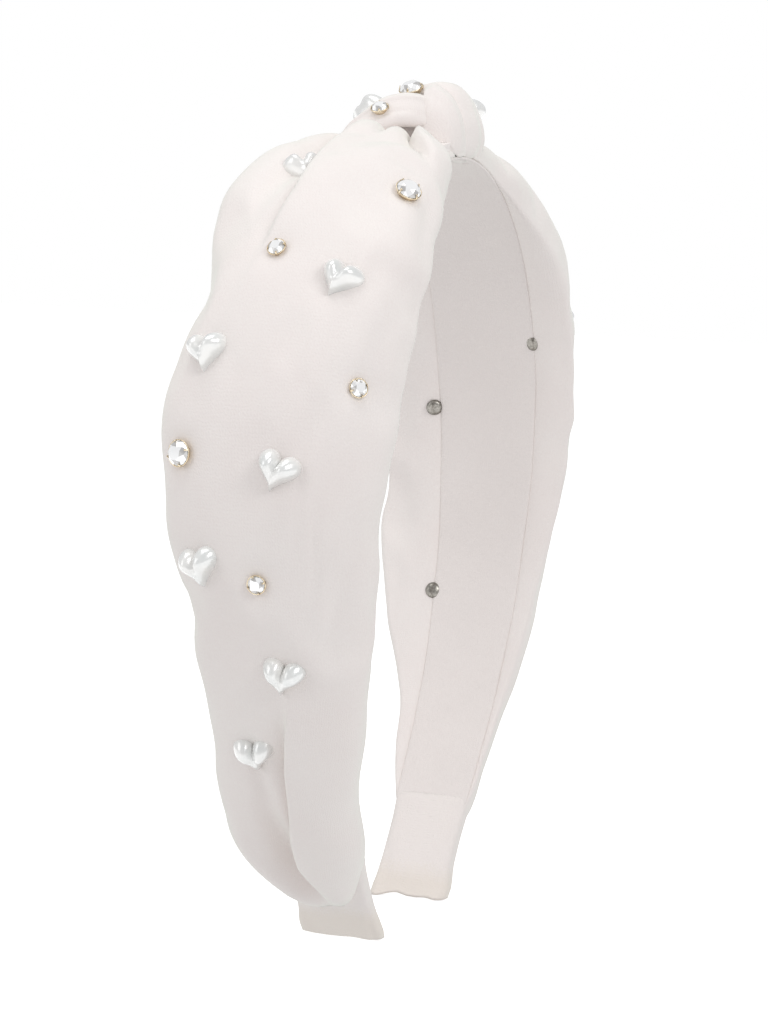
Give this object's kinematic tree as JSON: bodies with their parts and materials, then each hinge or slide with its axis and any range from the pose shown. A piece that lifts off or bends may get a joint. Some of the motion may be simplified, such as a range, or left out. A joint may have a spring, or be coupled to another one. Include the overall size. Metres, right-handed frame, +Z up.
{
  "type": "headband",
  "caption": "Knotted headband: springy arch with a puffed ivory fabric cover, a turban knot on the crown, tip cuffs, and scattered heart pearls and set crystals.",
  "frame": {"origin": "bottom centre of the headband as it stands on its two tips", "axes": "+Z up from the tips to the knot, +X towards the wearer's left ear as the -Y side faces forward, -Y to the front"},
  "size_m": [0.1559, 0.0423, 0.1656],
  "materials": {
    "band_plastic": "matt moulded",
    "lining": "woven ribbon",
    "crepe": "matt ivory crepe",
    "cuff_crepe": "matt ivory crepe, edge glued",
    "heart_pearl": "pearl lacquer",
    "crystal": "cut and polished, foiled back",
    "cup_metal": "polished pale gold plate",
    "rivet_metal": "plain nickel"
  },
  "bodies": {
    "root": {"plastic_band": "band_plastic", "band_lining": "lining", "left_cover": "crepe", "right_cover": "crepe", "left_strap": "crepe", "right_strap": "crepe", "knot_roll": "crepe", "left_tip_cuff": "cuff_crepe", "right_tip_cuff": "cuff_crepe", "left_rivets": "rivet_metal", "right_rivets": "rivet_metal", "knot_rivets": "rivet_metal", "left_heart_1": "heart_pearl", "left_heart_2": "heart_pearl", "left_heart_3": "heart_pearl", "left_heart_4": "heart_pearl", "left_heart_5": "heart_pearl", "left_heart_6": "heart_pearl", "left_heart_7": "heart_pearl", "left_crystal_1": "crystal", "left_crystal_2": "crystal", "left_crystal_3": "crystal", "left_crystal_4": "crystal", "left_crystal_5": "crystal", "left_cup_1": "cup_metal", "left_cup_2": "cup_metal", "left_cup_3": "cup_metal", "left_cup_4": "cup_metal", "left_cup_5": "cup_metal", "right_heart_1": "heart_pearl", "right_heart_2": "heart_pearl", "right_heart_3": "heart_pearl", "right_heart_4": "heart_pearl", "right_heart_5": "heart_pearl", "right_heart_6": "heart_pearl", "right_heart_7": "heart_pearl", "right_crystal_1": "crystal", "right_crystal_2": "crystal", "right_crystal_3": "crystal", "right_crystal_4": "crystal", "right_crystal_5": "crystal", "right_cup_1": "cup_metal", "right_cup_2": "cup_metal", "right_cup_3": "cup_metal", "right_cup_4": "cup_metal", "right_cup_5": "cup_metal", "knot_heart_1": "heart_pearl", "knot_heart_2": "heart_pearl", "knot_crystal_1": "crystal", "knot_crystal_2": "crystal", "knot_crystal_3": "crystal", "knot_cup_1": "cup_metal", "knot_cup_2": "cup_metal", "knot_cup_3": "cup_metal"}
  },
  "joints": []
}
